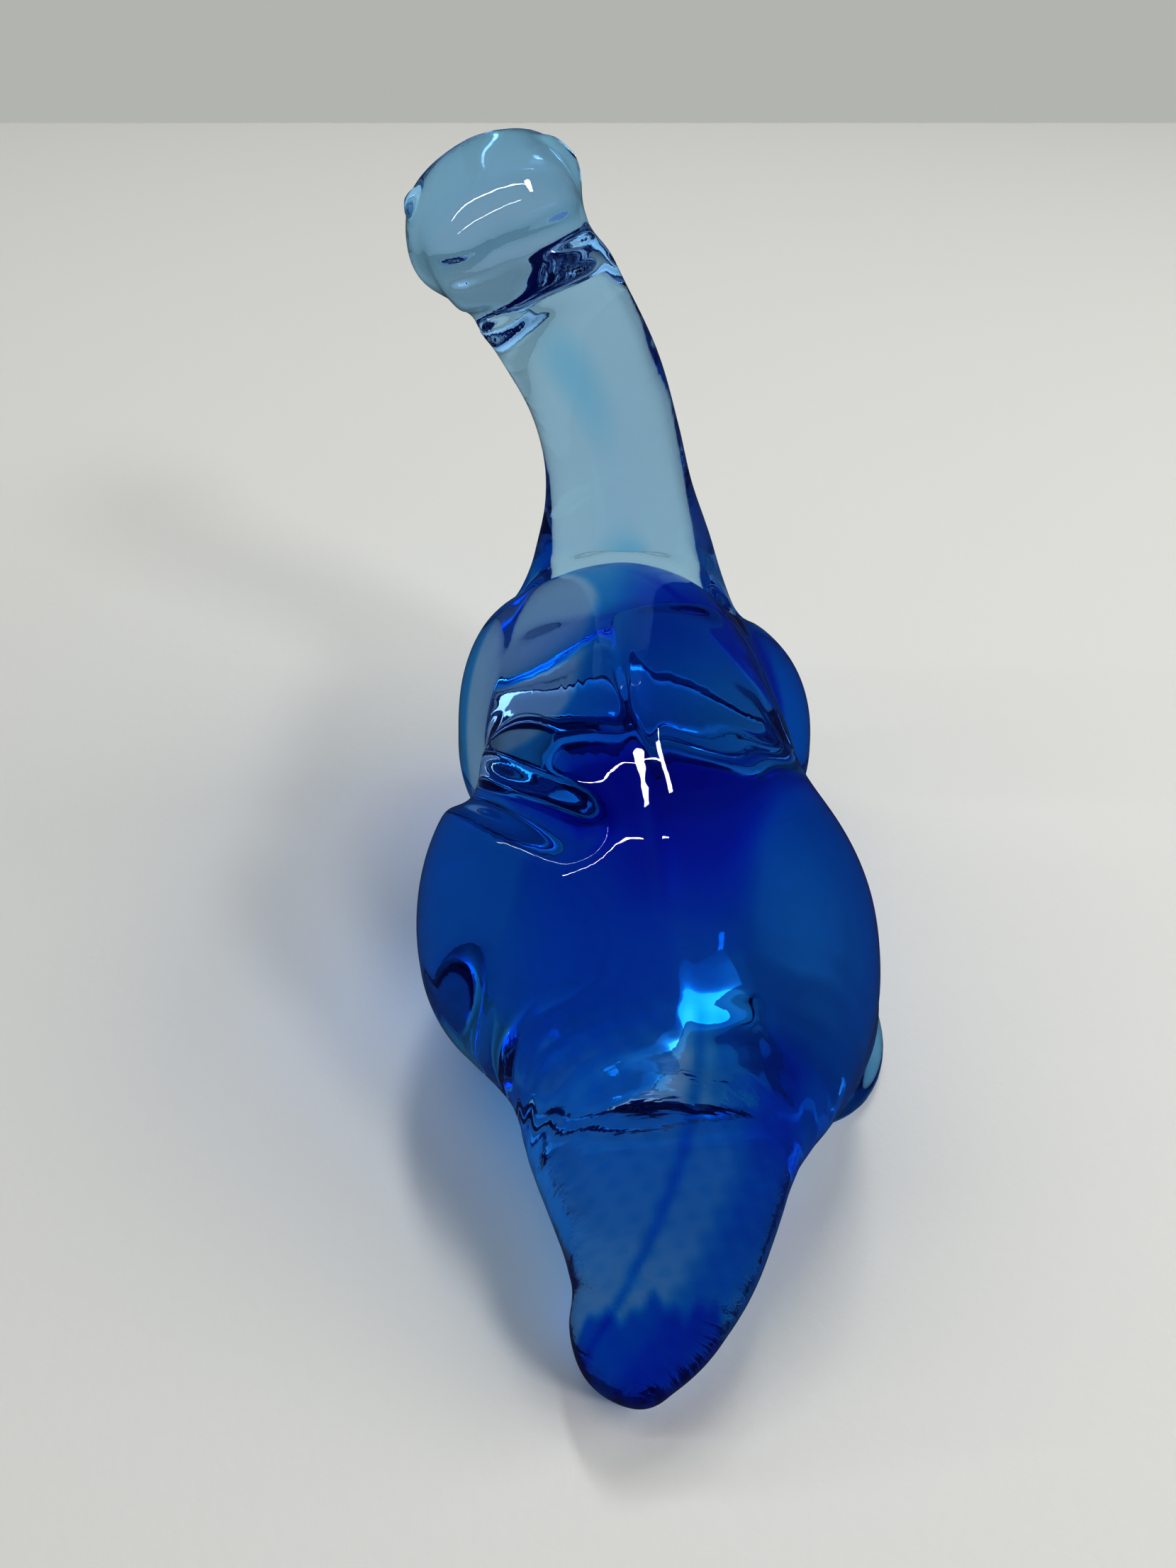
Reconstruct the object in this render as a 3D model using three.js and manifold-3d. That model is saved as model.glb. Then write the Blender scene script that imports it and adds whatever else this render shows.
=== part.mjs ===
// A solid glass long-necked dinosaur that stands on four feet, in millimetres, +Z up.
// It looks along -Y, its own left side is +X, and the soles stand on z = 0.
// The real animal is one piece of hot-worked glass. Each node here is one of the masses that it is
// worked from: torso, neck, head, tail, four legs and two eyes.
import * as THREE from 'three';
import { mergeVertices } from 'three/addons/utils/BufferGeometryUtils.js';
import Module from 'manifold-3d';

const wasm = await Module();
wasm.setup();

// Driving dimensions.
const GAP = 0.3;              // clearance between neighbouring masses
const LEG_SPREAD = 18;        // each leg's middle, out from the spine
const BACK_Z = 42;            // the barrel's middle, from back to belly
const NECK_RADIUS = 10.6;     // the neck where it is thinnest
const HEAD_RADIUS = 12.4;     // the skull's half width
const HEAD_ROLL = -20;        // the head's tilt to its left, in degrees
const EYE_RADIUS = 2.3;       // an eye bead
const EYE_LENGTH = 2.9;       // the same bead's half length, from front to back
const UPPER_MARK = 1.9;       // the tool that presses the upper mark across the nape
const LOWER_MARK = 1.2;       // and the lower mark
const FLOOR_BLOCK = 400;      // the block that cuts the soles flat
const SLIVER = 0.02;          // corners of a cut mesh that are closer than this are one

// Roundness of the swept masses and of the eggs.
const SWEEP_SIDES = 28;
const SWEEP_RINGS = 24;
const LEG_SIDES = 18;
const LEG_RINGS = 12;
const EGG_SIDES = 20;
const EGG_RINGS = 12;
const EYE_SIDES = 12;
const EYE_RINGS = 8;
const HEAD_RINGS = 18;
const MARK_SIDES = 8;
const MARK_RINGS = 16;
const END_CROWDING = 0.6;     // how much closer the rings of a sweep lie at its ends
const POLE = 1e-4;            // a ring this near an end of a sweep is the end point

const glass = (name, colour, roughness = 0.05) =>
  new THREE.MeshStandardMaterial({ name, color: colour, roughness, metalness: 0 });
const deepGlass = glass('deep_blue_glass', 0x0b3fa8);
const paleGlass = glass('pale_blue_glass', 0x7fa3c8);

// --- solids -----------------------------------------------------------------------------------

function solidOf(geometry) {
  const bare = new THREE.BufferGeometry();
  bare.setAttribute('position', geometry.getAttribute('position'));
  bare.setIndex(geometry.getIndex());
  const merged = mergeVertices(bare, 1e-4);
  return new wasm.Manifold(new wasm.Mesh({
    numProp: 3,
    vertProperties: new Float32Array(merged.getAttribute('position').array),
    triVerts: new Uint32Array(merged.getIndex().array),
  }));
}

// A mesh of a solid, without the slivers that a cut can leave: corners closer than SLIVER join.
function geometryOf(solid) {
  const { vertProperties, triVerts } = solid.getMesh();
  const geometry = new THREE.BufferGeometry();
  geometry.setAttribute('position', new THREE.BufferAttribute(new Float32Array(vertProperties), 3));
  geometry.setIndex(new THREE.BufferAttribute(new Uint32Array(triVerts), 1));
  const merged = mergeVertices(geometry, SLIVER);
  const corners = merged.getIndex().array;
  const kept = [];
  for (let i = 0; i < corners.length; i += 3) {
    const [a, b, c] = corners.slice(i, i + 3);
    if (a !== b && b !== c && c !== a) kept.push(a, b, c);
  }
  merged.setIndex(kept);
  merged.computeVertexNormals();
  return merged;
}

const joined = (solids) => solids.reduce((all, one) => all.add(one));
const cutBy = (solid, cutters) => cutters.reduce((left, cutter) => left.subtract(cutter), solid);

// How full a section is at place t (0 to 1) of a sweep that has a round cap at each end.
function fullness(t, startCap, endCap) {
  if (t < startCap) return Math.sqrt(Math.max(0, 1 - ((startCap - t) / startCap) ** 2));
  if (t > 1 - endCap) return Math.sqrt(Math.max(0, 1 - ((t - 1 + endCap) / endCap) ** 2));
  return 1;
}

// An oval section swept along a smooth line. A station is [x, y, z, half width, half height].
// roll turns the section about the line, in degrees, and grow makes it larger all over, for the
// clearance that it leaves in a neighbour.
function sweep(
  stations, { caps = [0.12, 0.12], sides = SWEEP_SIDES, rings = SWEEP_RINGS, roll = 0, grow = 0 } = {},
) {
  const line = new THREE.CatmullRomCurve3(
    stations.map(([x, y, z]) => new THREE.Vector3(x, y, z)), false, 'catmullrom', 0.5);
  const sizes = new THREE.CatmullRomCurve3(
    stations.map(([, , , a, b]) => new THREE.Vector3(a, b, 0)), false, 'catmullrom', 0.5);
  const geometry = new THREE.SphereGeometry(1, sides, rings);
  const place = geometry.getAttribute('position');
  const point = new THREE.Vector3();
  for (let i = 0; i < place.count; i += 1) {
    point.fromBufferAttribute(place, i);
    const ring = Math.acos(THREE.MathUtils.clamp(point.y, -1, 1)) / Math.PI;
    const crowded = ring - END_CROWDING * Math.sin(2 * Math.PI * ring) / (2 * Math.PI);
    const t = THREE.MathUtils.clamp(crowded, 0, 1);
    const around = Math.atan2(point.z, point.x);
    const isStart = ring < POLE;
    const isEnd = ring > 1 - POLE;
    const full = isStart || isEnd ? 0 : fullness(t, ...caps);
    const along = line.getTangent(t);
    const middle = line.getPoint(t);
    const size = sizes.getPoint(t);
    const wide = new THREE.Vector3(1, 0, 0).addScaledVector(along, -along.x).normalize();
    const high = along.clone().cross(wide);
    wide.applyAxisAngle(along, THREE.MathUtils.degToRad(roll));
    high.applyAxisAngle(along, THREE.MathUtils.degToRad(roll));
    middle.addScaledVector(wide, Math.cos(around) * (size.x + grow) * full);
    middle.addScaledVector(high, -Math.sin(around) * (size.y + grow) * full);
    if (isStart) middle.addScaledVector(along, -grow);
    if (isEnd) middle.addScaledVector(along, grow);
    place.setXYZ(i, middle.x, middle.y, middle.z);
  }
  return outward(solidOf(geometry), geometry);
}

// The same solid with its faces pointing out.
function outward(solid, geometry) {
  if (solid.volume() > 0) return solid;
  const index = geometry.getIndex();
  for (let i = 0; i < index.count; i += 3) {
    const second = index.getX(i + 1);
    index.setX(i + 1, index.getX(i + 2));
    index.setX(i + 2, second);
  }
  return solidOf(geometry);
}

// An egg-shaped mass: its centre and its three half sizes.
function egg(centre, radii, { sides = EGG_SIDES, rings = EGG_RINGS, grow = 0 } = {}) {
  const geometry = new THREE.SphereGeometry(1, sides, rings);
  geometry.rotateX(Math.PI / 2);
  geometry.scale(...radii.map((radius) => radius + grow));
  geometry.translate(...centre);
  return solidOf(geometry);
}

// --- the masses -------------------------------------------------------------------------------

// The barrel of the body, which falls away steeply in front of the shoulders.
const torso = (grow = 0) => sweep([
  [0, 48, 28, 12, 12],
  [0, 40, 33, 18, 18],
  [0, 24, BACK_Z - 4, 23, 23],
  [0, 4, BACK_Z - 0.5, 22.5, 22.5],
  [2, -14, BACK_Z, 22, 20.5],
  [4, -26, BACK_Z - 0.5, 20.5, 19],
  [5, -33, BACK_Z - 1.5, 18.5, 15.5],
  [5, -39, BACK_Z - 3, 15, 11],
], { caps: [0.1, 0.15], grow });

// The tail lies on the ground, and its tip curls to the left.
const tail = (grow = 0) => sweep([
  [0, 34, 22, 19, 26],
  [-1.5, 48, 17.5, 17.8, 21.5],
  [-1.2, 59, 12.5, 13.7, 16.3],
  [0.8, 66.5, 9, 10.1, 12.8],
  [4.2, 72, 7, 7.2, 10.3],
  [7.2, 75.5, 6, 5.2, 8.5],
], { caps: [0.05, 0.16], grow });

// The chest and the neck, which rises from it and leans to the left.
const neck = (grow = 0) => sweep([
  [1, -38, 26, 16, 12],
  [2, -42, 41, 18.5, 12.5],
  [2.5, -45, 53, 15.5, 11],
  [3.5, -46, 64, 12.3, 11],
  [5, -46, 74, NECK_RADIUS + 0.4, NECK_RADIUS + 0.2],
  [8, -45, 85, NECK_RADIUS, NECK_RADIUS],
  [13, -45, 95, NECK_RADIUS, NECK_RADIUS],
  [17.5, -47.5, 102, NECK_RADIUS + 0.4, NECK_RADIUS],
], { caps: [0.15, 0.1], grow });

// The skull, and the jaw under it.
const head = (grow = 0) => joined([
  sweep([
    [16.8, -40, 101, 8, 8],
    [20, -47, 104, HEAD_RADIUS - 1.4, 9.3],
    [22.6, -57, 105.3, HEAD_RADIUS, 9.7],
    [24, -65, 104.5, HEAD_RADIUS - 0.8, 9],
    [25, -71, 103.5, 9.5, 7.5],
  ], { caps: [0.2, 0.2], rings: HEAD_RINGS, roll: HEAD_ROLL, grow }),
  egg([22.5, -60, 97.5], [9, 10, 8.5], { grow }),
]);

const eye = (centre) => (grow = 0) => egg(
  centre, [EYE_RADIUS, EYE_LENGTH, EYE_RADIUS], { sides: EYE_SIDES, rings: EYE_RINGS, grow });
const leftEye = eye([33.3, -53.5, 107.6]);
const rightEye = eye([14.6, -58, 113.3]);

// A leg is a broad muscle on the flank, and a short shank down to a paw that the floor cuts flat.
const leg = (muscle, shank, paw) => (grow = 0) => joined([
  egg(...muscle, { grow }),
  sweep(shank, { caps: [0.05, 0.05], sides: LEG_SIDES, rings: LEG_RINGS, grow }),
  egg(...paw, { grow }),
]);

const leftHindLeg = leg(
  [[LEG_SPREAD + 1, 17, 27], [14.5, 20, 25.5]],
  [[19.5, 17, 22, 11, 12], [21, 14, 12, 10, 10.5], [21.5, 12, 2, 9.5, 9.5], [21.5, 12, -6, 9.5, 9.5]],
  [[22, 6, 1], [9, 12, 6.5]]);
const rightHindLeg = leg(
  [[-LEG_SPREAD, 25, 27], [14, 22.5, 25.5]],
  [[-20, 27, 22, 11, 13], [-23, 26, 12, 10, 11], [-25, 24, 2, 9.5, 11], [-25, 24, -6, 9.5, 11]],
  [[-29.5, 18.5, 1], [9.5, 14, 6.5]]);
const leftForeleg = leg(
  [[LEG_SPREAD - 1, -29, 26], [12.7, 18.5, 21]],
  [[18, -28, 22, 9, 12], [19, -30, 12, 8, 10], [19, -31, 2, 8, 10], [19, -31, -6, 8, 10]],
  [[20, -37, 1], [8.5, 10, 6]]);
const rightForeleg = leg(
  [[3 - LEG_SPREAD, -29, 24], [14.5, 17, 21]],
  [[-17, -28, 22, 9, 12], [-18, -30, 12, 8, 10], [-18, -32, 2, 8, 10], [-18, -32, -6, 8, 10]],
  [[-18.5, -37, 1], [8.5, 10, 6]]);

// A mark that a round tool of the given radius presses along a line.
const toolMark = (points, radius) => sweep(
  points.map((point) => [...point, radius, radius]), { sides: MARK_SIDES, rings: MARK_RINGS });

// The two marks across the nape, where the head was bent over.
const napeMarks = () => [
  toolMark([
    [31.5, -43, 101], [29.5, -41, 102.2], [24.7, -37.7, 104.6], [20.2, -37.4, 107.3],
    [17, -37.9, 107.9], [13, -40.4, 108.6], [9, -46, 108.4], [8, -52, 107.5],
  ], UPPER_MARK),
  toolMark([
    [28, -48, 93], [26, -43.6, 94.8], [20.4, -36, 99.6], [14.6, -35.2, 102.6], [9, -37.2, 103.8],
    [4.5, -42, 104.2],
  ], LOWER_MARK),
];

// The floor that the soles are ground flat on.
function floorBlock() {
  const block = new THREE.BoxGeometry(FLOOR_BLOCK, FLOOR_BLOCK, FLOOR_BLOCK);
  block.translate(0, 0, -FLOOR_BLOCK / 2);
  return solidOf(block);
}

// --- the figure -------------------------------------------------------------------------------

const figure = new THREE.Group();

function addPart(name, solid, material) {
  const mesh = new THREE.Mesh(geometryOf(solid), material);
  mesh.name = name;
  figure.add(mesh);
}

const floor = floorBlock();
const forelegs = [leftForeleg(GAP), rightForeleg(GAP)];
const hindLegs = [leftHindLeg(GAP), rightHindLeg(GAP)];
const legCutters = [torso(GAP), floor];

addPart('torso', torso(), deepGlass);
addPart('left_hind_leg', cutBy(leftHindLeg(), legCutters), deepGlass);
addPart('right_hind_leg', cutBy(rightHindLeg(), legCutters), deepGlass);
addPart('left_foreleg', cutBy(leftForeleg(), legCutters), deepGlass);
addPart('right_foreleg', cutBy(rightForeleg(), legCutters), deepGlass);
addPart('tail', cutBy(tail(), [torso(GAP), ...hindLegs, floor]), deepGlass);
addPart('neck', cutBy(neck(), [torso(GAP), ...forelegs, head(GAP), ...napeMarks()]), paleGlass);
addPart('head', cutBy(head(), [leftEye(GAP), rightEye(GAP), ...napeMarks()]), paleGlass);
addPart('left_eye', leftEye(), paleGlass);
addPart('right_eye', rightEye(), paleGlass);

// The origin is the middle of the figure's box, at floor level.
const middle = new THREE.Box3().setFromObject(figure).getCenter(new THREE.Vector3());
figure.position.set(-middle.x, -middle.y, 0);

export default figure;
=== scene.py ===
# A solid blue glass long-necked dinosaur that stands on a sheet of white paper, seen from behind.
# The figure is worked from one piece of hot glass, so it is one closed mesh here: its masses are
# melted together as distance fields. Figure lengths are in millimetres until a mesh is made.
import bpy
import math
import numpy as np
import openvdb
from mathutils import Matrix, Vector


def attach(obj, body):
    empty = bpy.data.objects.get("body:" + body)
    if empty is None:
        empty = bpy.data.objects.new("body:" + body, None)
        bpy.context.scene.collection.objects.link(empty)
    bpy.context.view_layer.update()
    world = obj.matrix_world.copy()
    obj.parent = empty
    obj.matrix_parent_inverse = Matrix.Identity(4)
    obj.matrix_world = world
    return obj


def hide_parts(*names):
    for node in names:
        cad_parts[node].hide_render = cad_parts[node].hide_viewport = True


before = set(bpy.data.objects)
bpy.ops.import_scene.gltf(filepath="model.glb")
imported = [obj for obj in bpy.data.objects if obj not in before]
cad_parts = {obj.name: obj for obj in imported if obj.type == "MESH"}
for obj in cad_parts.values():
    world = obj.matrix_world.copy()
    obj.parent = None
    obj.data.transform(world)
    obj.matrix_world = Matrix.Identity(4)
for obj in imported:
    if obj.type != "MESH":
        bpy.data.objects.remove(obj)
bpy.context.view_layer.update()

MM = 0.001

# The grid that the distance fields are held on.
VOXEL = 0.6
GRID_LOW = np.array([-46.0, -86.0, -6.0])
GRID_HIGH = np.array([46.0, 88.0, 124.0])
GRID_SHAPE = np.ceil((GRID_HIGH - GRID_LOW) / VOXEL).astype(int)
FIELD_REACH = 10.0  # how far from its surface a field is measured, in millimetres

# The rings of a sweep crowd towards its ends, where it rounds off. A cap stops just short of a point.
END_CROWDING = 0.6
CAP_LIMIT = 0.9998
LEVEL_AXIS = np.array([1.0, 0, 0])

# The glass: its index, and the pale tint that deepens with every metre of it that light crosses.
GLASS_IOR = 1.47
GLASS_DENSITY = 18.0
GLASS_COLOUR = (0.0, 0.2, 0.57, 1)
# What light keeps of red, green and blue as it goes in and out through a full depth of tint and painted
# shade.
TINT_AND_SHADE_FILTER = np.array([0.0015, 0.23, 0.86])

# The camera is a phone held close, behind the tail and above the back.
CAMERA_PLACE = (8.7, 129.0, 170.0)
CAMERA_PITCH = 45.0
CAMERA_LONG_FOV = 67.3


# --- shapes -----------------------------------------------------------------------------------


def along(points, places):
    """Points on a smooth curve through the given rows, at places from 0 to 1."""
    rows = np.asarray(points, float)
    last = len(rows) - 1
    padded = np.vstack([2 * rows[0] - rows[1], rows, 2 * rows[-1] - rows[-2]])
    reach = np.clip(places, 0, 1) * last
    index = np.minimum(reach.astype(int), last - 1)
    part = (reach - index)[:, None]
    before, start, end, after = (padded[index + shift] for shift in range(4))
    slope_in, slope_out = (end - before) / 2, (after - start) / 2
    return (
        (2 * start - 2 * end + slope_in + slope_out) * part**3
        + (-3 * start + 3 * end - 2 * slope_in - slope_out) * part**2
        + slope_in * part
        + start
    )


def closed_grid(rings):
    """Triangles of a closed skin over an array of rings, with a point at each end."""
    count, sides = rings.shape[:2]
    points = np.vstack([rings.reshape(-1, 3), rings[0].mean(0), rings[-1].mean(0)])
    number = np.arange(count * sides).reshape(count, sides)
    here, beside = number, np.roll(number, -1, axis=1)
    skin = [
        np.stack([here[:-1], beside[:-1], beside[1:]], -1),
        np.stack([here[:-1], beside[1:], here[1:]], -1),
    ]
    first, last = count * sides, count * sides + 1
    ends = [
        np.stack([beside[0], here[0], np.full(sides, first)], -1),
        np.stack([here[-1], beside[-1], np.full(sides, last)], -1),
    ]
    return points, np.vstack([part.reshape(-1, 3) for part in skin + ends])


def sweep(stations, caps=(0.12, 0.12), roll=0.0, square=2.0, ridge=(90, 20, 0), rings=200, sides=160):
    """A section swept along a smooth line. A station is x, y, z, half width, half height.

    roll turns the section, square is 2 for an oval and more for a box, and ridge raises a line
    along it: the angle it lies at, its width in degrees and its height as a part of the section.
    """
    even = np.linspace(0, 1, rings)
    places = even - END_CROWDING * np.sin(2 * math.pi * even) / (2 * math.pi)
    table = along(stations, places)
    step = 1e-3
    course = along(stations, places + step)[:, :3] - along(stations, places - step)[:, :3]
    course /= np.linalg.norm(course, axis=1, keepdims=True)
    level = LEVEL_AXIS - course * course[:, :1]
    level /= np.linalg.norm(level, axis=1, keepdims=True)
    upright = np.cross(course, level)
    tilt = math.radians(roll)
    wide = level * math.cos(tilt) + upright * math.sin(tilt)
    high = upright * math.cos(tilt) - level * math.sin(tilt)
    start = np.clip((caps[0] - places) / caps[0], 0, CAP_LIMIT)
    end = np.clip((places - 1 + caps[1]) / caps[1], 0, CAP_LIMIT)
    full = np.sqrt(1 - start**2) * np.sqrt(1 - end**2)
    turn = np.linspace(0, 2 * math.pi, sides, endpoint=False)
    power = 2 / square
    across = np.sign(np.cos(turn)) * np.abs(np.cos(turn)) ** power
    up = np.sign(np.sin(turn)) * np.abs(np.sin(turn)) ** power
    angle, width, height = ridge
    away = (np.degrees(turn) - angle + 180) % 360 - 180
    lift = 1 + height * np.exp(-((away / width) ** 2))
    sideways = (across * lift)[None, :, None] * (table[:, 3] * full)[:, None, None] * wide[:, None, :]
    upwards = (up * lift)[None, :, None] * (table[:, 4] * full)[:, None, None] * high[:, None, :]
    return closed_grid(table[:, None, :3] + sideways + upwards)


def turned(points, centre, degrees):
    """Points turned about X, then Y, then Z, round a centre."""
    x, y, z = (math.radians(value) for value in degrees)
    about_x = np.array([[1, 0, 0], [0, math.cos(x), -math.sin(x)], [0, math.sin(x), math.cos(x)]])
    about_y = np.array([[math.cos(y), 0, math.sin(y)], [0, 1, 0], [-math.sin(y), 0, math.cos(y)]])
    about_z = np.array([[math.cos(z), -math.sin(z), 0], [math.sin(z), math.cos(z), 0], [0, 0, 1]])
    centre = np.asarray(centre, float)
    return (points - centre) @ (about_z @ about_y @ about_x).T + centre


def egg(centre, radii, degrees=(0, 0, 0), rings=120, sides=160):
    """An egg-shaped mass."""
    polar = np.linspace(0.01, math.pi - 0.01, rings)[:, None]
    turn = np.linspace(0, 2 * math.pi, sides, endpoint=False)[None, :]
    shape = np.stack(
        [np.sin(polar) * np.cos(turn), -np.sin(polar) * np.sin(turn), np.cos(polar) + 0 * turn], -1
    )
    points, triangles = closed_grid(shape * np.asarray(radii, float))
    return turned(points + np.asarray(centre, float), centre, degrees), triangles


# --- distance fields --------------------------------------------------------------------------


def field_of(mesh):
    """Signed distance to a closed mesh in millimetres, negative inside, on the whole grid."""
    points, triangles = mesh
    grid = openvdb.FloatGrid.createLevelSetFromPolygons(
        ((points - GRID_LOW) / VOXEL).astype(np.float32),
        triangles=triangles.astype(np.uint32),
        transform=openvdb.createLinearTransform(1.0),
        halfWidth=FIELD_REACH / VOXEL,
    )
    values = np.empty(GRID_SHAPE, np.float32)
    grid.copyToArray(values)
    return values * VOXEL


def blended(first, second, width):
    """Two masses melted together over a width."""
    near = np.maximum(width - np.abs(first - second), 0) / width
    return np.minimum(first, second) - near * near * width / 4


def carved(field, tool, width):
    """A mass with a tool's shape pressed out of it, with a soft lip."""
    return -blended(-field, tool, width)


def axis_values():
    """The grid's x, y and z values, shaped to broadcast."""
    x, y, z = (GRID_LOW[i] + VOXEL * np.arange(GRID_SHAPE[i], dtype=np.float32) for i in range(3))
    return x[:, None, None], y[None, :, None], z[None, None, :]


def softened(field):
    """The field with the fine steps between its masses smoothed out."""
    for axis in range(3):
        before, after = np.roll(field, 1, axis), np.roll(field, -1, axis)
        field = (before + 2 * field + after) / 4
    return field


# --- the figure's masses ----------------------------------------------------------------------


def torso():
    """The barrel of the body, from the rump to the chest."""
    return sweep(
        [
            [0, 48, 28, 12, 12],
            [0, 40, 33, 18, 18],
            [0, 24, 38, 23, 23],
            [0, 4, 41.5, 22.5, 22.5],
            [2, -14, 42, 22, 20.5],
            [4, -26, 41.5, 20.5, 19],
            [5, -33, 40.5, 18.5, 15.5],
            [5, -39, 39, 15, 11],
        ],
        caps=(0.1, 0.15),
    )


def tail():
    """The thick tail, which lies on the ground and curls to the left at its tip."""
    return sweep(
        [
            [0, 34, 22, 19, 26],
            [-1.5, 48, 17.5, 17.8, 21.5],
            [-1.2, 59, 12.5, 13.7, 16.3],
            [0.8, 66.5, 9, 10.1, 12.8],
            [4.2, 72, 7, 7.2, 10.3],
            [7.2, 75.5, 6, 5.2, 8.5],
        ],
        caps=(0.05, 0.16),
        ridge=(103, 9, 0.17),
    )


def neck():
    """The neck, which rises from the chest and leans to the left."""
    return sweep(
        [
            [1, -38, 26, 16, 12],
            [2, -42, 41, 18.5, 12.5],
            [2.5, -45, 53, 15.5, 11],
            [3.5, -46, 64, 12.3, 11],
            [5, -46, 74, 11, 10.8],
            [8, -45, 85, 10.6, 10.6],
            [13, -45, 95, 10.6, 10.6],
            [17.5, -47.5, 102, 11, 10.6],
        ],
        caps=(0.15, 0.1),
    )


def head():
    """The blunt head, turned and tilted a little to the left."""
    return sweep(
        [
            [16.8, -40, 101, 8, 8],
            [20, -47, 104, 11, 9.3],
            [22.6, -57, 105.3, 12.4, 9.7],
            [24, -65, 104.5, 11.6, 9],
            [25, -71, 103.5, 9.5, 7.5],
        ],
        caps=(0.2, 0.2),
        roll=-20,
        square=2.5,
    )


# The head's small masses: centre and half sizes. Each eye is a bead that lies in a pit.
CHEEK = ((31, -56, 100.5), (4, 6, 4.5))
JAW = ((22.5, -60, 97.5), (9, 10, 8.5))
BROW = ((13, -58, 110.5), (2.6, 3.5, 3.5))
EYES = ((33.3, -53.5, 107.6), (14.6, -58, 113.3))
EYE_PIT = (2.9, 2.9, 2.9)
EYE_BEAD = (2.1, 2.3, 2.1)

# The flats on the brow: a point on each, and the way it faces.
FACETS = (
    ((20.4, -60, 116.3), (0.084, -0.705, 0.705)),
    ((27.6, -60, 113.8), (0.61, -0.56, 0.56)),
)

# Each leg: its muscle, its shank and its paw.
LEGS = {
    "left_hind_leg": (
        ((19, 17, 27), (14.5, 20, 25.5)),
        [[19.5, 17, 22, 11, 12], [21, 14, 12, 10, 10.5], [21.5, 12, 2, 9.5, 9.5], [21.5, 12, -6, 9.5, 9.5]],
        ((22, 6, 1), (9, 12, 6.5)),
    ),
    "right_hind_leg": (
        ((-18, 25, 27), (14, 22.5, 25.5)),
        [[-20, 27, 22, 11, 13], [-23, 26, 12, 10, 11], [-25, 24, 2, 9.5, 11], [-25, 24, -6, 9.5, 11]],
        ((-29.5, 18.5, 1), (9.5, 14, 6.5)),
    ),
    "left_foreleg": (
        ((17, -29, 26), (12.7, 18.5, 21)),
        [[18, -28, 22, 9, 12], [19, -30, 12, 8, 10], [19, -31, 2, 8, 10], [19, -31, -6, 8, 10]],
        ((20, -37, 1), (8.5, 10, 6)),
    ),
    "right_foreleg": (
        ((-15, -29, 24), (14.5, 17, 21)),
        [[-17, -28, 22, 9, 12], [-18, -30, 12, 8, 10], [-18, -32, 2, 8, 10], [-18, -32, -6, 8, 10]],
        ((-18.5, -37, 1), (8.5, 10, 6)),
    ),
}
LEG_BLENDS = {"left_hind_leg": 12.0, "right_hind_leg": 10.0, "left_foreleg": 12.0, "right_foreleg": 9.0}


def leg_field(name):
    """One leg, melted together."""
    muscle, shank, paw = LEGS[name]
    field = blended(field_of(egg(*muscle)), field_of(sweep(shank, caps=(0.05, 0.05))), 6.0)
    return blended(field, field_of(egg(*paw)), 4.0)


def head_field():
    """The head with its cheek, jaw, brow and bead eyes."""
    field = field_of(head())
    field = blended(field, field_of(egg(*CHEEK)), 4.0)
    field = blended(field, field_of(egg(*JAW)), 3.0)
    x, y, z = axis_values()
    for (px, py, pz), (nx, ny, nz) in FACETS:
        inside = -(nx * (x - px) + ny * (y - py) + nz * (z - pz))
        field = carved(field, inside, 0.8)
    field = blended(field, field_of(egg(*BROW)), 2.0)
    for centre in EYES:
        field = carved(field, field_of(egg(centre, EYE_PIT)), 0.6)
        field = blended(field, field_of(egg(centre, EYE_BEAD)), 0.6)
    return field


# Creases pressed into the hot glass: the points along each, the tool's radius and the lip's width.
# They are the left haunch, the front of the hump, and the two marks where the head was bent over.
CREASES = (
    ([[31, -2, 38], [27, 6, 48], [19, 18, 56.5], [9, 29, 62]], 3.2, 3.0),
    (
        [[24, -36, 40], [18, -36, 48], [11, -36, 54], [4, -36, 57], [-4, -36, 55], [-11, -36, 49],
         [-17, -36, 42]],
        2.4,
        3.0,
    ),
    (
        [[31.5, -43, 101], [29.5, -41, 102.2], [24.7, -37.7, 104.6], [20.2, -37.4, 107.3],
         [17, -37.9, 107.9], [13, -40.4, 108.6], [9, -46, 108.4], [8, -52, 107.5]],
        1.9,
        1.0,
    ),
    (
        [[28, -48, 93], [26, -43.6, 94.8], [20.4, -36, 99.6], [14.6, -35.2, 102.6], [9, -37.2, 103.8],
         [4.5, -42, 104.2]],
        1.2,
        1.0,
    ),
)
CREASE_SIDES = 32


def creased(field):
    """The field with its creases."""
    for points, radius, lip in CREASES:
        line = [[*point, radius, radius] for point in points]
        field = carved(field, field_of(sweep(line, sides=CREASE_SIDES)), lip)
    return field


def wrinkled(field):
    """Fine waves where the mould chilled the glass, and the seam along the spine."""
    x, y, z = axis_values()
    top = np.clip((z - 14) / 8, 0, 1)
    root = np.exp(-(((y - 50) / 9) ** 2))
    sway = 0.5 * np.sin(x / 3.1) + 0.4 * np.sin(x / 1.9 + 1)
    waves = 0.06 * root * np.sin(2 * math.pi * (y + sway) / 3.4)
    broad = 0.02 * np.sin(2 * math.pi * (y + 0.5 * x) / 11) * np.exp(-((y / 32) ** 2))
    seam = 4.4 - 7.4 * (y + 10) / 64
    line = 0.16 * np.exp(-(((x - seam) / 0.9) ** 2)) * (z > 30) * np.exp(-(((y - 22) / 26) ** 4))
    return field + top * (waves + broad) + line


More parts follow.
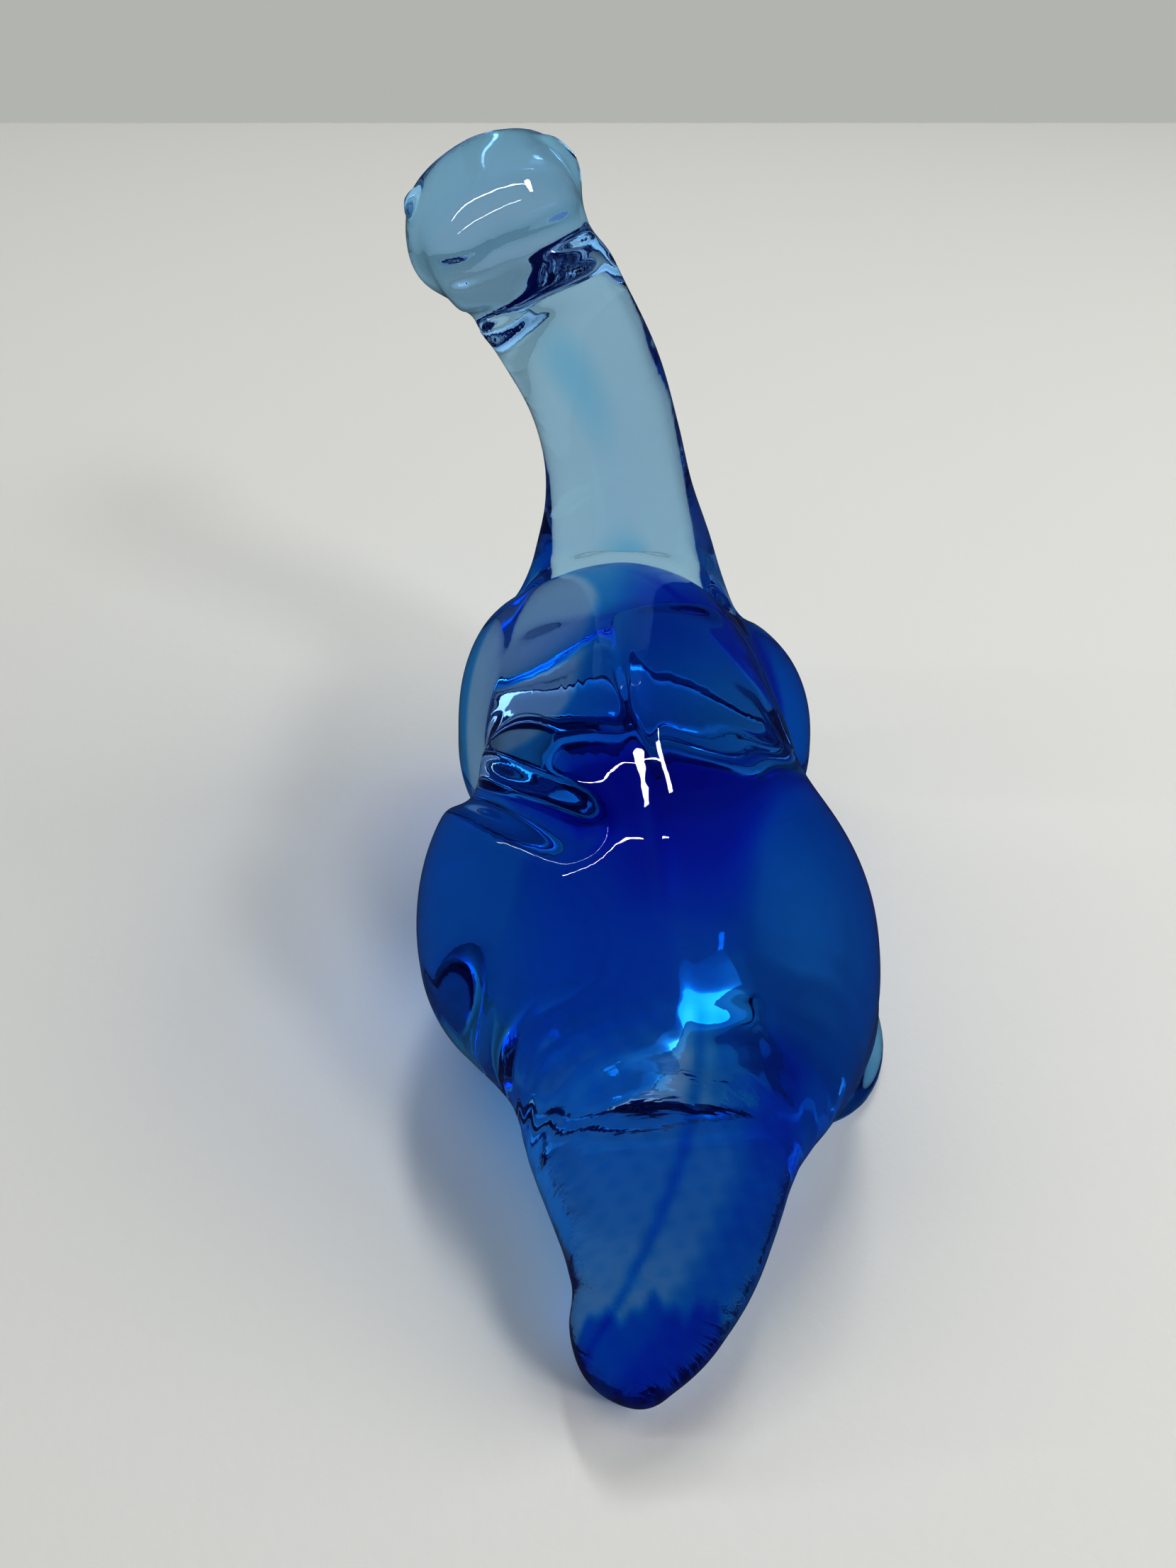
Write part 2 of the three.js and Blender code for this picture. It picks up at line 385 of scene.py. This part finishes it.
def figure_field():
    """The whole figure as one distance field."""
    field = blended(field_of(torso()), field_of(tail()), 8.0)
    for name in LEGS:
        field = blended(field, leg_field(name), LEG_BLENDS[name])
    field = blended(field, field_of(neck()), 4.0)
    field = blended(field, head_field(), 5.0)
    field = softened(wrinkled(creased(field)))
    floor = np.broadcast_to(axis_values()[2], field.shape)
    return carved(field, floor, 1.2)


# --- where the tint and the painted shade lie -------------------------------------------------


def ramp(values, low, high):
    """0 below low, 1 above high, and a smooth step between them."""
    part = np.clip((values - low) / (high - low), 0, 1)
    return part * part * (3 - 2 * part)


def near_line(points, line, width):
    """1 on a smooth line through the given points, falling to 0 at about twice a width from it."""
    course = along(line, np.linspace(0, 1, 40))
    gap = np.full(len(points), np.inf)
    for start, end in zip(course[:-1], course[1:]):
        step = end - start
        share = np.clip((points - start) @ step / (step @ step), 0, 1)
        gap = np.minimum(gap, np.linalg.norm(points - start - share[:, None] * step, axis=1))
    return np.exp(-((gap / width) ** 2))


# Lines of painted shade over the shoulders and the spine, and how wide they are.
SHADE_LINES = (
    ([[27, -30, 44], [20, -31, 52], [12, -31, 58], [4, -31, 60], [-4, -31, 58], [-12, -31, 51]], 0.8),
    ([[2, -28, 63], [-6, -20, 61], [-14, -10, 57], [-20, 0, 51]], 0.9),
    ([[-3, -24, 62], [-9, -12, 60], [-14, -2, 57], [-16, 8, 55]], 0.7),
    ([[-10, -33, 54], [-17, -26, 52], [-24, -14, 46]], 0.9),
    ([[1, 20, 61], [-1, 34, 56], [-3, 46, 47]], 0.7),
)


# How much tint and painted shade lies on each part, where 1 is a full depth of it.
BASE_DEPTH = 0.075    # a trace, everywhere
HEAD_DEPTH = 0.04     # the head, beyond the base
BODY_SHADE = 0.62     # painted shade over the whole body
SPINE_SHADE = 0.8     # more painted shade along the middle of the back, beyond the body
HUMP_SHADE = 0.9      # more painted shade on the hump and the right shoulder, beyond the body
BELLY_SHADE = 1.6     # painted shade between the forelegs
# painted shade along the lines listed above
SHADE_LINE_DEPTH = 0.6
TAIL_DEPTH = 0.05     # under the tail
TIP_SHADE = 1.4       # painted shade on the tip of the tail
TAIL_UNDER = (1, 4)   # the heights between which the tail's underside becomes its top


def body_tint_and_shade(points):
    """How much tint and painted shade lies over the body, the neck and the head."""
    x, y, z = points.T
    # Painted shade over the body, from the chest back, fading out towards the ground.
    body = ramp(y, -35, -31) * ramp(z, 6, 26)
    # A patch on the left flank is left without painted shade, as painted light where the glass shows the
    # lit paper.
    patch = ((x - 18) / 12) ** 2 + ((y + 12) / 21) ** 2
    border = 6.4 + 0.16 * np.maximum(y + 22, 0)
    lit_patch = ramp(x - border, -1.5, 1.5) * (1 - ramp(patch, 0.85, 1.1))
    # Painted shade along the middle of the back.
    spine = np.exp(-(((x - 2) / 9) ** 2 + ((y - 12) / 20) ** 2))
    # Painted shade on the hump and the right shoulder.
    hump = ramp(-x, -6, 2) * (1 - ramp(y, -10, 5))
    skull = ramp(z, 96, 102) * (1 - ramp(y, -46, -40))
    back = BODY_SHADE + SPINE_SHADE * spine + HUMP_SHADE * hump
    depth = BASE_DEPTH + HEAD_DEPTH * skull + body * back * (1 - lit_patch)
    # Painted shade between the forelegs, on the lower body under the chest.
    belly = ramp(x, -13, -7) * (1 - ramp(x, -3, 3)) * ramp(y, -54, -48) * (1 - ramp(y, 0, 12))
    depth = depth + BELLY_SHADE * belly * (1 - ramp(z, 26, 34))
    # Painted shade along each listed line.
    for line, width in SHADE_LINES:
        depth = depth + SHADE_LINE_DEPTH * body * near_line(points, line, width)
    return depth


def tail_painted_shade(points):
    """How much painted shade lies over the tail: a pale flat on each side of a dark painted ridge line."""
    x, y, z = points.T
    # Painted light and shade: the left flat pale, a dark line along the ridge, and darker bands to its
    # right.
    ridge = x + 5 - 0.0205 * np.maximum(y - 49, 0) ** 2
    left = 0.1 * (1 - ramp(y, 50, 62))
    right = 0.9 * ramp(-ridge, 5, 10) * (1 - ramp(-ridge, 12, 16))
    root_shade = 0.9 * ramp(-ridge, 0, 3) * (1 - ramp(y, 52, 60))
    flats = np.where(ridge > 0, left, right + root_shade)
    flats = flats + 0.8 * np.exp(-((ridge / 0.9) ** 2)) + 0.4 * (1 - ramp(y, 48, 52))
    brush = 0.1 * np.sin(2.3 * y + 0.5 * x) * np.sin(0.9 * y - 1.3 * x + 1)
    return np.maximum(TAIL_DEPTH + (flats - TAIL_DEPTH + brush) * ramp(z, *TAIL_UNDER), 0)


def tint_and_shade_depth(points):
    """How much tint and painted shade lies over each point: least on the neck, most along the back."""
    x, y, z = points.T
    on_tail = ramp(y, 46, 50)
    edge = y + 0.7 * np.sin(0.9 * x + 1) + 0.4 * np.sin(2.3 * x)
    # Painted shade over the tail's tip, with a wavy edge.
    tip = TIP_SHADE * ramp(edge, 71, 73) * ramp(z, *TAIL_UNDER)
    return body_tint_and_shade(points) * (1 - on_tail) + on_tail * tail_painted_shade(points) + tip


NECK_MARKS = 0.1  # the neck's marks beside the tail's


def chill_marks(points):
    """How strongly the tool and the cold floor have marked the skin at each point."""
    x, y, z = points.T
    tail_skin = ramp(y, 50, 56) * (1 - ramp(y, 71, 73))
    neck_skin = ramp(z, 66, 76) * (1 - ramp(z, 92, 98))
    return tail_skin + NECK_MARKS * neck_skin


# --- the glass --------------------------------------------------------------------------------

# The chill marks: how fine they are along each axis, per metre, and how strongly they show.
CHILL_SCALE = (110, 620, 160)
CHILL_STRENGTH = (0.01, 0.4)


def mesh_of(field, name):
    """A fine closed mesh of a field's surface, in metres, with its box's middle at the origin.

    It carries its tint and painted shade as a colour and its chill marks as a number at every point.
    """
    grid = openvdb.FloatGrid(FIELD_REACH)
    grid.copyFromArray(field)
    points, quads = grid.convertToQuads(isovalue=0.0)
    points = points * VOXEL + GRID_LOW
    middle = (points.min(0) + points.max(0)) / 2
    tint_and_shade = np.ones((len(points), 4), np.float32)
    # Each point's colour: the trace of tint and the painted shade that lie over it.
    tint_and_shade[:, :3] = TINT_AND_SHADE_FILTER ** tint_and_shade_depth(points)[:, None]
    marks = chill_marks(points).astype(np.float32)
    points[:, :2] -= middle[:2]
    mesh = bpy.data.meshes.new(name)
    mesh.from_pydata((points * MM).tolist(), [], quads.tolist())
    mesh.validate()
    mesh.shade_smooth()
    colours = mesh.color_attributes.new("tint_and_shade", "FLOAT_COLOR", "POINT")
    colours.data.foreach_set("color", tint_and_shade.ravel())
    chill = mesh.attributes.new("chill", "FLOAT", "POINT")
    chill.data.foreach_set("value", marks)
    piece = bpy.data.objects.new(name, mesh)
    bpy.context.collection.objects.link(piece)
    smooth = piece.modifiers.new("polish", "SMOOTH")
    smooth.factor = 0.5
    smooth.iterations = 8
    return piece, middle


def glass_material():
    """Blue glass: a surface colour of tint and painted shade, deepest over the body, and a pale tint all
    through it.
    """
    material = bpy.data.materials.new("blue_glass")
    material.use_nodes = True
    tree = material.node_tree
    shader = tree.nodes["Principled BSDF"]
    # The surface colour carries the tint and the painted shade worked out for each point.
    tint_and_shade = tree.nodes.new("ShaderNodeAttribute")
    tint_and_shade.attribute_name = "tint_and_shade"
    tree.links.new(tint_and_shade.outputs["Color"], shader.inputs["Base Color"])
    shader.inputs["Roughness"].default_value = 0.0
    shader.inputs["IOR"].default_value = GLASS_IOR
    shader.inputs["Transmission Weight"].default_value = 1.0
    bump = add_bump(tree, shader, noise(tree, CHILL_SCALE, 3.0), 0.0004)
    chill = tree.nodes.new("ShaderNodeAttribute")
    chill.attribute_name = "chill"
    strength = map_range(tree, chill.outputs["Fac"], (0, 1), CHILL_STRENGTH)
    tree.links.new(strength, bump.inputs["Strength"])
    absorption = tree.nodes.new("ShaderNodeVolumeAbsorption")
    absorption.inputs["Color"].default_value = GLASS_COLOUR
    absorption.inputs["Density"].default_value = GLASS_DENSITY
    tree.links.new(absorption.outputs["Volume"], tree.nodes["Material Output"].inputs["Volume"])
    return material


def noise(tree, scale, detail):
    """Soft noise that stays with the object, with a scale per metre along each of its axes."""
    place = tree.nodes.new("ShaderNodeMapping")
    place.inputs["Scale"].default_value = scale
    tree.links.new(tree.nodes.new("ShaderNodeTexCoord").outputs["Object"], place.inputs["Vector"])
    texture = tree.nodes.new("ShaderNodeTexNoise")
    texture.inputs["Scale"].default_value = 1.0
    texture.inputs["Detail"].default_value = detail
    tree.links.new(place.outputs["Vector"], texture.inputs["Vector"])
    return texture.outputs["Fac"]


def add_bump(tree, shader, height, distance):
    """Relief on a shader, where a height of 1 stands a distance in metres above 0."""
    bump = tree.nodes.new("ShaderNodeBump")
    bump.inputs["Distance"].default_value = distance
    tree.links.new(height, bump.inputs["Height"])
    tree.links.new(bump.outputs["Normal"], shader.inputs["Normal"])
    return bump


# --- the stage --------------------------------------------------------------------------------


# The sheet: its left, right, near and far edges in metres, just under the soles, and its tooth.
PAPER_SIDE = 1.5
PAPER_FAR = -0.48
PAPER_NEAR = 1.5
PAPER_Z = -0.00012
TOOTH_SCALE = (420, 420, 420)


def paper_material():
    """White paper with a faint tooth."""
    material = bpy.data.materials.new("paper")
    material.use_nodes = True
    tree = material.node_tree
    shader = tree.nodes["Principled BSDF"]
    shader.inputs["Base Color"].default_value = (0.78, 0.78, 0.75, 1)
    shader.inputs["Roughness"].default_value = 0.9
    bump = add_bump(tree, shader, noise(tree, TOOTH_SCALE, 4.0), 0.0003)
    bump.inputs["Strength"].default_value = 0.25
    return material


def add_paper():
    """The sheet that the figure stands on; its far edge shows at the top of the view."""
    mesh = bpy.data.meshes.new("paper")
    sides = ((-1, PAPER_FAR), (1, PAPER_FAR), (1, PAPER_NEAR), (-1, PAPER_NEAR))
    corners = [(side * PAPER_SIDE, y, PAPER_Z) for side, y in sides]
    mesh.from_pydata(corners, [], [(0, 1, 2, 3)])
    mesh.materials.append(paper_material())
    sheet = bpy.data.objects.new("paper", mesh)
    sheet.visible_glossy = False
    bpy.context.collection.objects.link(sheet)


# How bright the room is at heights from below the figure (-1) to half way up (0.5). From there it
# brightens to white overhead (1).
ROOM = ((-1.0, 0.35), (-0.02, 0.365), (0.12, 0.43), (0.5, 0.23))
WINDOW_SIDE = (-0.75, 0.35, 0.45)
WINDOW_EDGE = (0.2, 0.95)
WINDOW = 0.45
MIRRORED = 0.08


def add_room():
    """A dim room: pale walls, a wide soft window to one side, and a white ceiling.

    What the glass mirrors of the room is dimmed, as a polarising filter dims it.
    """
    world = bpy.data.worlds.new("room")
    bpy.context.scene.world = world
    world.use_nodes = True
    tree = world.node_tree
    ray = tree.nodes.new("ShaderNodeTexCoord").outputs["Generated"]
    split = tree.nodes.new("ShaderNodeSeparateXYZ")
    tree.links.new(ray, split.inputs[0])
    height = map_range(tree, split.outputs["Z"], (-1, 1), (0, 1))
    walls = tree.nodes.new("ShaderNodeValToRGB")
    tree.links.new(height, walls.inputs["Fac"])
    steps = walls.color_ramp.elements
    for place, _ in ROOM[1:]:
        steps.new((place + 1) / 2)
    for step, (place, level) in zip(steps, ROOM):
        step.position = (place + 1) / 2
        step.color = (level, level * 1.02, level * 0.97, 1)
    aim = tree.nodes.new("ShaderNodeVectorMath")
    aim.operation = "DOT_PRODUCT"
    tree.links.new(ray, aim.inputs[0])
    aim.inputs[1].default_value = Vector(WINDOW_SIDE).normalized()
    window = map_range(tree, aim.outputs["Value"], WINDOW_EDGE, (0, WINDOW), "SMOOTHSTEP")
    seen = tree.nodes.new("ShaderNodeLightPath").outputs["Is Reflection Ray"]
    share = map_range(tree, seen, (0, 1), (1, MIRRORED))
    both = mixed(tree, "ADD", walls.outputs["Color"], window)
    tree.links.new(mixed(tree, "MULTIPLY", both, share), tree.nodes["Background"].inputs["Color"])


def map_range(tree, value, source, target, kind="LINEAR"):
    """A value carried from one range to another."""
    node = tree.nodes.new("ShaderNodeMapRange")
    node.interpolation_type = kind
    tree.links.new(value, node.inputs["Value"])
    limits = ("From Min", "From Max", "To Min", "To Max")
    for name, limit in zip(limits, (*source, *target)):
        node.inputs[name].default_value = limit
    return node.outputs["Result"]


def mixed(tree, kind, first, second):
    """Two colours added or multiplied."""
    node = tree.nodes.new("ShaderNodeMix")
    node.data_type = "RGBA"
    node.blend_type = kind
    node.inputs["Factor"].default_value = 1.0
    tree.links.new(first, node.inputs["A"])
    tree.links.new(second, node.inputs["B"])
    return node.outputs["Result"]


def add_lamp(name, place, size, radiance, aim=(0, 0, 0.04)):
    """A rectangular lamp, its long side level, that shines at a point."""
    light = bpy.data.lights.new(name, "AREA")
    light.shape = "RECTANGLE"
    light.size, light.size_y = size
    light.energy = radiance * math.pi * size[0] * size[1]
    lamp = bpy.data.objects.new(name, light)
    bpy.context.collection.objects.link(lamp)
    lamp.location = place
    lamp.rotation_euler = (Vector(aim) - Vector(place)).to_track_quat("-Z", "Y").to_euler()
    return lamp


def add_tube(name, place, length, width, radiance):
    """A thin ceiling tube that lies along X and shines down."""
    tube = add_lamp(name, place, (length, width), radiance)
    tube.rotation_euler = (0, 0, 0)
    tube.visible_transmission = False


def add_camera(middle):
    """The phone's camera, moved with the figure, whose box's middle is now at the origin."""
    data = bpy.data.cameras.new("camera")
    data.sensor_fit = "AUTO"
    data.sensor_width = 36.0
    data.lens = data.sensor_width / 2 / math.tan(math.radians(CAMERA_LONG_FOV / 2))
    data.clip_start = 0.005
    camera = bpy.data.objects.new("camera", data)
    bpy.context.collection.objects.link(camera)
    x, y, z = CAMERA_PLACE
    camera.location = ((x - middle[0]) * MM, (y - middle[1]) * MM, z * MM)
    camera.rotation_euler = (math.radians(90 - CAMERA_PITCH), 0, math.radians(180))
    bpy.context.scene.camera = camera


BOUNCES = 24
GLOSSY_BOUNCES = 12


def set_rendering():
    """The picture's contrast, and enough bounces for light to cross a thick body of glass."""
    scene = bpy.context.scene
    scene.view_settings.view_transform = "Standard"
    scene.view_settings.look = "High Contrast"
    scene.cycles.max_bounces = BOUNCES
    scene.cycles.transmission_bounces = BOUNCES
    scene.cycles.glossy_bounces = GLOSSY_BOUNCES


def add_lamps():
    """The lamps whose images lie on the glass, and the two that only light it."""
    key = add_lamp("key", (-0.54, 0.43, 0.65), (0.14, 0.14), 20.0)
    key.visible_glossy = False
    side = add_lamp("side", (-0.75, 0.1, 0.5), (0.7, 0.5), 2.4)
    side.visible_glossy = False
    panel = add_lamp("panel", (-0.07, -0.42, 0.9), (0.08, 0.3), 22.0)
    panel.visible_transmission = False
    panel.rotation_euler.rotate_axis("Z", math.radians(35))
    add_tube("tube_high", (0.55, -0.45, 0.85), 1.2, 0.014, 25.0)
    add_tube("tube_low", (0.6, -0.02, 0.85), 1.2, 0.014, 25.0)


# --- the model --------------------------------------------------------------------------------

piece, middle = mesh_of(figure_field(), "glass_body")
piece.data.materials.append(glass_material())
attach(piece, "root")
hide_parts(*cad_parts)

add_paper()
add_room()
add_lamps()
add_camera(middle)
set_rendering()
